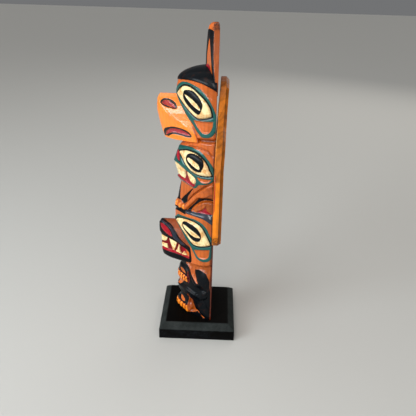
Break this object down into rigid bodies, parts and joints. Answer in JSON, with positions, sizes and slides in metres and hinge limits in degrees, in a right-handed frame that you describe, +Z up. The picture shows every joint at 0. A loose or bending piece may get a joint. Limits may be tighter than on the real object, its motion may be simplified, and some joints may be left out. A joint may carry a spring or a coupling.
{
  "type": "totem pole",
  "caption": "Carved and painted wooden pole with stacked animal figures and a spread wing board, standing upright on a square bevelled stand.",
  "frame": {"origin": "centre of the stand's underside", "axes": "+Z up along the pole; the carved faces look along -Y; +X is the figures' left"},
  "size_m": [0.184, 0.0907, 0.347],
  "materials": {
    "stand_paint": "satin black paint",
    "painted_cedar": "stained and painted cedar, satin",
    "wing_wood": "stained cedar, satin"
  },
  "bodies": {
    "root": {"stand": "stand_paint", "carved_pole": "painted_cedar", "wings": "wing_wood"}
  },
  "joints": []
}
